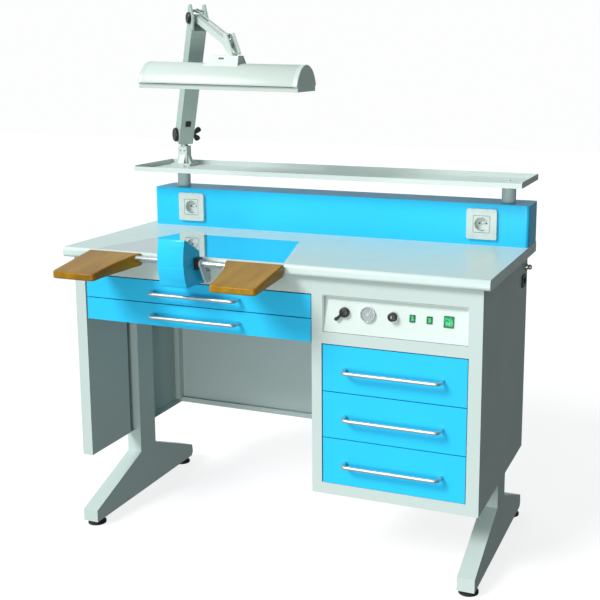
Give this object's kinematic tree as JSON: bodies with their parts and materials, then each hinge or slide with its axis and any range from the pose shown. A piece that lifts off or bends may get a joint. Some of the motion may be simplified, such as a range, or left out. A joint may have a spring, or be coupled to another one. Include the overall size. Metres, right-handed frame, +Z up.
{
  "type": "dental laboratory technician's workbench",
  "caption": "Technician's laboratory workbench with drawer cabinet, tray drawers, control panel, suction hood, wooden armrests, socket console, shelf and jointed lamp.",
  "frame": {"origin": "centre of the whole bench's footprint, on the floor", "axes": "+X to the right along the worktop, +Y to the back, +Z up"},
  "size_m": [1.2, 0.778, 1.486],
  "materials": {
    "worktop": "white laminate, softly glossy",
    "work_plate": "mirror polished stainless steel",
    "blue_panel": "sky blue powder coat, semi-gloss",
    "grey_panel": "pale grey powder coat, fine texture",
    "white_plastic": "moulded white plastic",
    "shelf": "pale grey powder coat",
    "handle_steel": "bright chromed bar",
    "bare_steel": "zinc plated and brushed steel",
    "black_plastic": "moulded black plastic",
    "foot_rubber": "black rubber pad with a plated stem",
    "green_rocker": "translucent green, lit from inside",
    "green_frame": "moulded dark green plastic",
    "brass": "plated brass",
    "wood": "clear varnished brown wood",
    "duct": "pale grey plastic duct",
    "lamp_white": "white lacquered aluminium extrusion",
    "lamp_grey": "grey lacquered steel",
    "diffuser": "opal diffuser over two tubes"
  },
  "bodies": {
    "bench": {"worktop": "worktop", "work_plate": "work_plate", "console_housing": "blue_panel", "wall_sockets": "white_plastic", "shelf_posts": "shelf", "shelf_tray": "shelf", "left_side_panel": "grey_panel", "modesty_panel": "grey_panel", "front_apron": "grey_panel", "cabinet_shell": "grey_panel", "left_leg": "grey_panel", "right_leg": "grey_panel", "drawer_runners": "bare_steel", "control_panel": "shelf", "pressure_gauge": "bare_steel", "valve_block": "brass", "rocker_frames": "green_frame", "air_coupling": "brass", "power_inlet": "black_plastic", "support_rod": "bare_steel", "suction_hood": "blue_panel", "hood_clamp": "black_plastic", "suction_duct": "duct", "suction_unit": "black_plastic", "lamp_clamp": "lamp_white"},
    "foot_front_left": {"foot_front_left": "foot_rubber"},
    "foot_back_left": {"foot_back_left": "foot_rubber"},
    "foot_front_right": {"foot_front_right": "foot_rubber"},
    "foot_back_right": {"foot_back_right": "foot_rubber"},
    "upper_tray": {"upper_tray_drawer": "blue_panel", "upper_tray_handle": "handle_steel"},
    "lower_tray": {"lower_tray_drawer": "blue_panel", "lower_tray_handle": "handle_steel"},
    "drawer_1": {"drawer_1_front": "blue_panel", "drawer_1_box": "grey_panel", "drawer_1_handle": "handle_steel"},
    "drawer_2": {"drawer_2_front": "blue_panel", "drawer_2_box": "grey_panel", "drawer_2_handle": "handle_steel"},
    "drawer_3": {"drawer_3_front": "blue_panel", "drawer_3_box": "grey_panel", "drawer_3_handle": "handle_steel"},
    "gas_lever": {"gas_lever": "black_plastic"},
    "gauge_needle": {"gauge_needle": "white_plastic"},
    "regulator_knob": {"regulator_knob": "black_plastic"},
    "rocker_suction": {"rocker_suction": "green_rocker"},
    "rocker_light": {"rocker_light": "green_rocker"},
    "rocker_main": {"rocker_main": "green_rocker"},
    "left_armrest": {"left_armrest": "wood"},
    "right_armrest": {"right_armrest": "wood"},
    "lamp_yoke": {"lamp_yoke": "bare_steel"},
    "lower_arm": {"lower_arm": "lamp_grey", "arm_caps": "black_plastic"},
    "wing_knob": {"wing_knob": "black_plastic"},
    "lamp_switch": {"lamp_switch": "black_plastic"},
    "upper_arm": {"upper_arm": "lamp_white"},
    "tie_rod": {"tie_rod": "bare_steel"},
    "lamp_neck": {"lamp_neck": "lamp_white"},
    "lamp_head": {"lamp_shade": "lamp_white", "lamp_diffuser": "diffuser"}
  },
  "joints": [
    {"name": "foot_front_left_height", "type": "slide", "parent": "bench", "child": "foot_front_left", "axis": [0, 0, -1], "range_m": [0, 0.015]},
    {"name": "foot_back_left_height", "type": "slide", "parent": "bench", "child": "foot_back_left", "axis": [0, 0, -1], "range_m": [0, 0.015]},
    {"name": "foot_front_right_height", "type": "slide", "parent": "bench", "child": "foot_front_right", "axis": [0, 0, -1], "range_m": [0, 0.015]},
    {"name": "foot_back_right_height", "type": "slide", "parent": "bench", "child": "foot_back_right", "axis": [0, 0, -1], "range_m": [0, 0.015]},
    {"name": "upper_tray_slide", "type": "slide", "parent": "bench", "child": "upper_tray", "axis": [0, -1, 0], "range_m": [0, 0.33]},
    {"name": "lower_tray_slide", "type": "slide", "parent": "bench", "child": "lower_tray", "axis": [0, -1, 0], "range_m": [0, 0.33]},
    {"name": "drawer_1_slide", "type": "slide", "parent": "bench", "child": "drawer_1", "axis": [0, -1, 0], "range_m": [0, 0.35]},
    {"name": "drawer_2_slide", "type": "slide", "parent": "bench", "child": "drawer_2", "axis": [0, -1, 0], "range_m": [0, 0.35]},
    {"name": "drawer_3_slide", "type": "slide", "parent": "bench", "child": "drawer_3", "axis": [0, -1, 0], "range_m": [0, 0.35]},
    {"name": "gas_lever_turn", "type": "hinge", "parent": "bench", "child": "gas_lever", "pos_m": [0.222, -0.17852, 0.70141], "axis": [0, -0.989, 0.1478], "range_deg": [0, 90]},
    {"name": "gauge_needle_turn", "type": "hinge", "parent": "bench", "child": "gauge_needle", "pos_m": [0.284, -0.17852, 0.70141], "axis": [0, -0.989, 0.1478], "range_deg": [-97, 173]},
    {"name": "regulator_knob_turn", "type": "hinge", "parent": "bench", "child": "regulator_knob", "pos_m": [0.351, -0.17852, 0.70141], "axis": [0, -0.989, 0.1478], "range_deg": [-150, 150]},
    {"name": "rocker_suction_rock", "type": "hinge", "parent": "bench", "child": "rocker_suction", "pos_m": [0.4, -0.17852, 0.70141], "axis": [1, 0, 0], "range_deg": [0, 14]},
    {"name": "rocker_light_rock", "type": "hinge", "parent": "bench", "child": "rocker_light", "pos_m": [0.444, -0.17852, 0.70141], "axis": [1, 0, 0], "range_deg": [0, 14]},
    {"name": "rocker_main_rock", "type": "hinge", "parent": "bench", "child": "rocker_main", "pos_m": [0.493, -0.17852, 0.70141], "axis": [1, 0, 0], "range_deg": [0, 14]},
    {"name": "left_armrest_swing", "type": "hinge", "parent": "bench", "child": "left_armrest", "pos_m": [-0.424, -0.234, 0.809], "axis": [-1, 0, 0], "range_deg": [0, 95]},
    {"name": "right_armrest_swing", "type": "hinge", "parent": "bench", "child": "right_armrest", "pos_m": [-0.01, -0.234, 0.809], "axis": [-1, 0, 0], "range_deg": [0, 95]},
    {"name": "lamp_swivel", "type": "hinge", "parent": "bench", "child": "lamp_yoke", "pos_m": [-0.526, 0.341, 1.034], "axis": [0, 0, 1], "range_deg": [-120, 120]},
    {"name": "lower_arm_tilt", "type": "hinge", "parent": "lamp_yoke", "child": "lower_arm", "pos_m": [-0.526, 0.341, 1.092], "axis": [0.6947, 0.7193, 0], "range_deg": [-40, 6]},
    {"name": "wing_knob_turn", "type": "hinge", "parent": "lower_arm", "child": "wing_knob", "pos_m": [-0.50516, 0.36258, 1.092], "axis": [0.6947, 0.7193, 0], "continuous": true},
    {"name": "lamp_switch_press", "type": "slide", "parent": "lower_arm", "child": "lamp_switch", "axis": [-0.6465, 0.6244, 0.4384], "range_m": [0, 0.002], "stiffness_N_per_m": 300},
    {"name": "elbow_tilt", "type": "hinge", "parent": "lower_arm", "child": "upper_arm", "pos_m": [-0.40144, 0.22071, 1.44702], "axis": [0.6947, 0.7193, 0], "range_deg": [-50, 20]},
    {"name": "tie_rod_tilt", "type": "hinge", "parent": "lower_arm", "child": "tie_rod", "pos_m": [-0.40144, 0.22071, 1.46802], "axis": [0.6947, 0.7193, 0], "range_deg": [-50, 20]},
    {"name": "neck_tilt", "type": "hinge", "parent": "upper_arm", "child": "lamp_neck", "pos_m": [-0.19438, 0.02076, 1.3699], "axis": [0.6947, 0.7193, 0], "range_deg": [-20, 50]},
    {"name": "head_swivel", "type": "hinge", "parent": "lamp_neck", "child": "lamp_head", "pos_m": [-0.16057, -0.01189, 1.3599], "axis": [0.0174, 0.0009, 0.9998], "range_deg": [-90, 90]}
  ],
  "couplings": [
    {"joint": "tie_rod_tilt", "follows": "elbow_tilt", "ratio": 1},
    {"joint": "neck_tilt", "follows": "elbow_tilt", "ratio": -1}
  ]
}
